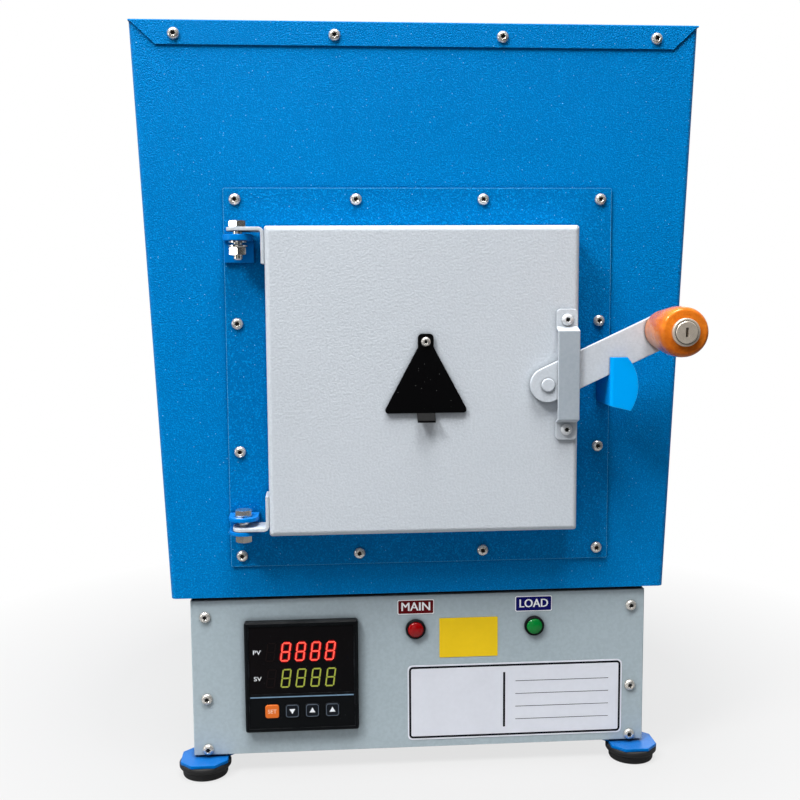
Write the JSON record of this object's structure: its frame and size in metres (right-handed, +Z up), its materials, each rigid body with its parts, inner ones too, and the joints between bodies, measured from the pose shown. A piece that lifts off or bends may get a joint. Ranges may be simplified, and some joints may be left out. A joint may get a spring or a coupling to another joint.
{
  "type": "muffle furnace",
  "caption": "Bench muffle furnace with a tapered body on a control box, a side-hinged latched door with a sight hole, and a panel temperature controller.",
  "frame": {"origin": "on the floor, under the middle of the whole furnace's footprint", "axes": "+Z up, the door faces -Y, +X is to the right of someone who faces the door"},
  "size_m": [0.4614, 0.5904, 0.6255],
  "materials": {
    "blue_powder_coat": "satin",
    "grey_powder_coat": "satin",
    "door_coat": "matte",
    "black_paint": "satin",
    "galvanised": "satin",
    "screw_steel": "satin",
    "nickel": "satin",
    "heat_strip": "matte",
    "foot_rubber": "matte",
    "gasket_rubber": "matte",
    "knob_wood": "gloss",
    "controller_black": "satin",
    "window_dark": "gloss",
    "key_orange": "satin",
    "key_black": "satin",
    "lens_red": "gloss",
    "lens_green": "gloss",
    "gland_black": "matte",
    "relay_white": "satin",
    "heatsink_aluminium": "satin",
    "terminal_cream": "matte",
    "fibre_board": "matte",
    "muffle_ceramic": "matte",
    "sheath_ceramic": "satin"
  },
  "bodies": {
    "cabinet": {"foot_rubbers": "foot_rubber", "foot_plates": "blue_powder_coat", "foot_packings": "gasket_rubber", "foot_screws": "screw_steel", "control_box_shell": "grey_powder_coat", "control_front_panel": "grey_powder_coat", "front_panel_screws": "screw_steel", "control_rear_panel": "grey_powder_coat", "controller_case": "controller_black", "controller_window": "window_dark", "controller_clamps": "controller_black", "lamp_bodies": "controller_black", "red_lens": "lens_red", "green_lens": "lens_green", "heatsink": "heatsink_aluminium", "solid_state_relay": "relay_white", "terminal_block": "terminal_cream", "cable_gland": "gland_black", "body_shell": "blue_powder_coat", "body_floor": "galvanised", "top_cover": "blue_powder_coat", "lip_screws": "screw_steel", "back_panel": "blue_powder_coat", "rear_screws": "screw_steel", "body_gasket": "gasket_rubber", "frame_plate": "blue_powder_coat", "frame_screws": "screw_steel", "front_board": "fibre_board", "rear_board": "fibre_board", "base_board": "fibre_board", "top_board": "fibre_board", "side_boards": "fibre_board", "muffle": "muffle_ceramic", "heater_winding": "heat_strip", "thermocouple": "sheath_ceramic", "heater_terminals": "sheath_ceramic", "hinge_brackets": "blue_powder_coat", "hinge_bolts": "screw_steel", "hinge_nuts": "screw_steel", "latch_keeper": "blue_powder_coat"},
    "door": {"door_pan": "door_coat", "door_back_plate": "galvanised", "door_board": "fibre_board", "door_plug": "muffle_ceramic", "sight_tube": "sheath_ceramic", "door_seal": "fibre_board", "door_ears": "door_coat", "strap_bracket": "door_coat", "strap_screws": "screw_steel", "lever_pin": "door_coat", "cover_screw": "screw_steel"},
    "lever": {"lever_bar": "door_coat", "knob": "knob_wood", "lock_barrel": "nickel"},
    "lock_plug": {"lock_plug": "nickel"},
    "sight_cover": {"sight_cover": "black_paint"},
    "key_set": {"key_set": "key_orange"},
    "key_shift": {"key_shift": "key_black"},
    "key_down": {"key_down": "key_black"},
    "key_up": {"key_up": "key_black"}
  },
  "joints": [
    {"name": "door_hinge", "type": "hinge", "parent": "cabinet", "child": "door", "pos_m": [-0.147, -0.21775, 0.3382], "axis": [0, 0, -1], "range_deg": [0, 175]},
    {"name": "lever_lift", "type": "hinge", "parent": "door", "child": "lever", "pos_m": [0.099, -0.23755, 0.3347], "axis": [0, -1, 0], "range_deg": [0, 15]},
    {"name": "lock_turn", "type": "hinge", "parent": "lever", "child": "lock_plug", "pos_m": [0.19305, -0.29105, 0.37816], "axis": [0, -1, 0], "range_deg": [0, 90]},
    {"name": "cover_swing", "type": "hinge", "parent": "door", "child": "sight_cover", "pos_m": [0.001, -0.23475, 0.3704], "axis": [0, -1, 0], "continuous": true},
    {"name": "key_set_press", "type": "slide", "parent": "cabinet", "child": "key_set", "axis": [0, 1, 0], "range_m": [0, 0.0008], "stiffness_N_per_m": 1500},
    {"name": "key_shift_press", "type": "slide", "parent": "cabinet", "child": "key_shift", "axis": [0, 1, 0], "range_m": [0, 0.0008], "stiffness_N_per_m": 1500},
    {"name": "key_down_press", "type": "slide", "parent": "cabinet", "child": "key_down", "axis": [0, 1, 0], "range_m": [0, 0.0008], "stiffness_N_per_m": 1500},
    {"name": "key_up_press", "type": "slide", "parent": "cabinet", "child": "key_up", "axis": [0, 1, 0], "range_m": [0, 0.0008], "stiffness_N_per_m": 1500}
  ]
}
